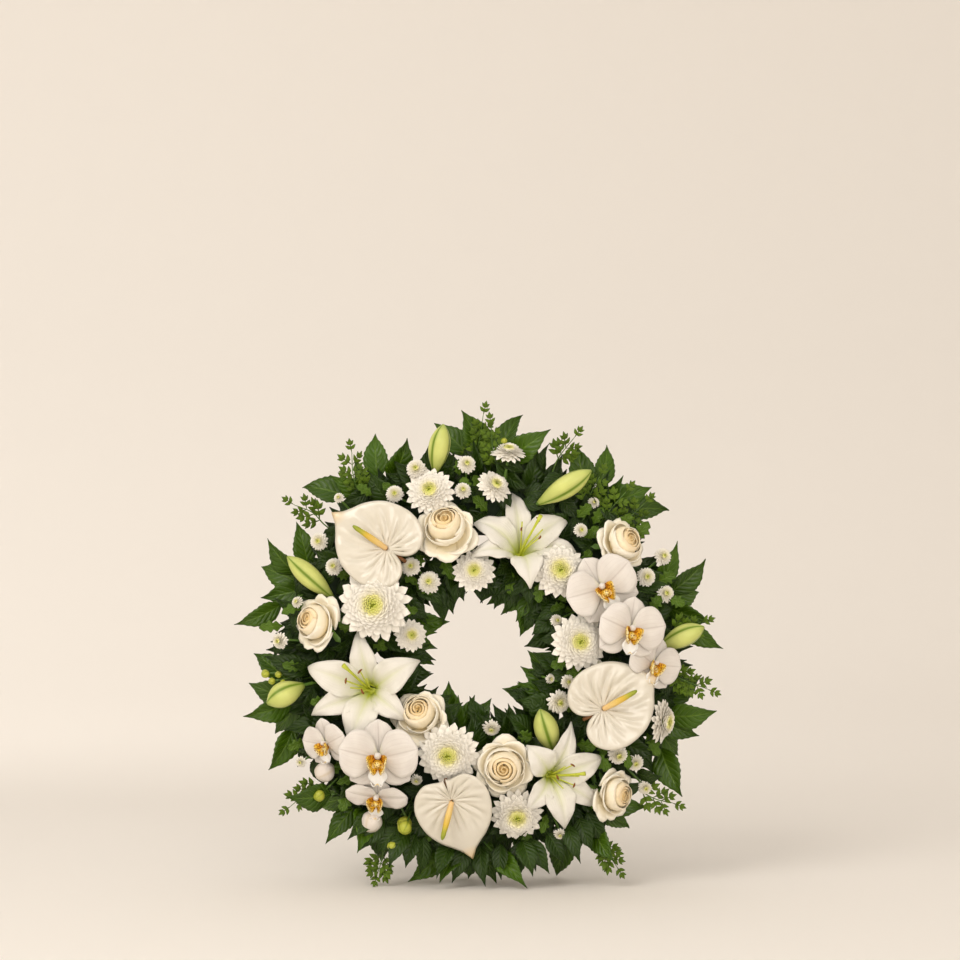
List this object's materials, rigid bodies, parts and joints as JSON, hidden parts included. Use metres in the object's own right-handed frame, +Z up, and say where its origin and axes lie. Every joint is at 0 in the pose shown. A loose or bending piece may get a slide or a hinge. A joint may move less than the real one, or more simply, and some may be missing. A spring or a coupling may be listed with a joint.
{
  "type": "memorial wreath",
  "caption": "Round memorial wreath of white and cream flowers and green leaves in a ring of wet flower foam, with a clear round hole and a flat-backed tray.",
  "frame": {"origin": "on the ground, under the middle of the wreath's bounding box", "axes": "+Z up, the wreath's face looks along -Y, its tray's flat back looks along +Y, +X is to the right as seen from the front"},
  "size_m": [0.614, 0.1502, 0.5944],
  "materials": {
    "spathe": "glossy, puckered",
    "spadix": "matt, finely bumped",
    "rose_petal": "soft matt",
    "chrysanthemum_petal": "soft matt",
    "orchid_petal": "soft satin",
    "orchid_lip": "satin, brown spots",
    "lily_petal": "soft satin",
    "lily_bud": "satin, green ribs",
    "button_petal": "soft matt",
    "flower_heart": "matt",
    "anther": "powdery",
    "orchid_bud": "satin",
    "stem": "satin",
    "leaf": "glossy, pale veins",
    "light_leaf": "matt",
    "foam": "porous, wet",
    "tray_plastic": "moulded, satin"
  },
  "bodies": {
    "root": {"anthurium_1": "spathe", "anthurium_2": "spathe", "anthurium_3": "spathe", "rose_1": "rose_petal", "rose_2": "rose_petal", "rose_3": "rose_petal", "rose_4": "rose_petal", "rose_5": "rose_petal", "rose_6": "rose_petal", "chrysanthemum_1": "chrysanthemum_petal", "chrysanthemum_2": "chrysanthemum_petal", "chrysanthemum_3": "chrysanthemum_petal", "chrysanthemum_4": "chrysanthemum_petal", "chrysanthemum_5": "chrysanthemum_petal", "chrysanthemum_6": "chrysanthemum_petal", "chrysanthemum_7": "chrysanthemum_petal", "chrysanthemum_8": "chrysanthemum_petal", "chrysanthemum_9": "chrysanthemum_petal", "chrysanthemum_10": "chrysanthemum_petal", "chrysanthemum_11": "chrysanthemum_petal", "orchid_1": "orchid_petal", "orchid_2": "orchid_petal", "orchid_3": "orchid_petal", "orchid_4": "orchid_petal", "orchid_5": "orchid_petal", "orchid_6": "orchid_petal", "lily_1": "lily_petal", "lily_2": "lily_petal", "lily_3": "lily_petal", "lily_bud_1": "lily_bud", "lily_bud_2": "lily_bud", "lily_bud_3": "lily_bud", "lily_bud_4": "lily_bud", "lily_bud_5": "lily_bud", "lily_bud_6": "lily_bud", "button_spray_1": "button_petal", "button_spray_2": "button_petal", "button_spray_3": "button_petal", "button_spray_4": "button_petal", "button_spray_5": "button_petal", "button_spray_6": "button_petal", "button_spray_7": "button_petal", "button_spray_8": "button_petal", "orchid_tip_1": "orchid_bud", "outer_foliage_1": "leaf", "outer_foliage_2": "leaf", "outer_foliage_3": "leaf", "outer_foliage_4": "leaf", "outer_foliage_5": "leaf", "outer_foliage_6": "leaf", "outer_foliage_7": "leaf", "outer_foliage_8": "leaf", "outer_foliage_9": "leaf", "outer_foliage_10": "leaf", "inner_foliage_1": "leaf", "inner_foliage_2": "leaf", "inner_foliage_3": "leaf", "inner_foliage_4": "leaf", "foam_ring": "foam", "tray_ring": "tray_plastic"}
  },
  "joints": []
}
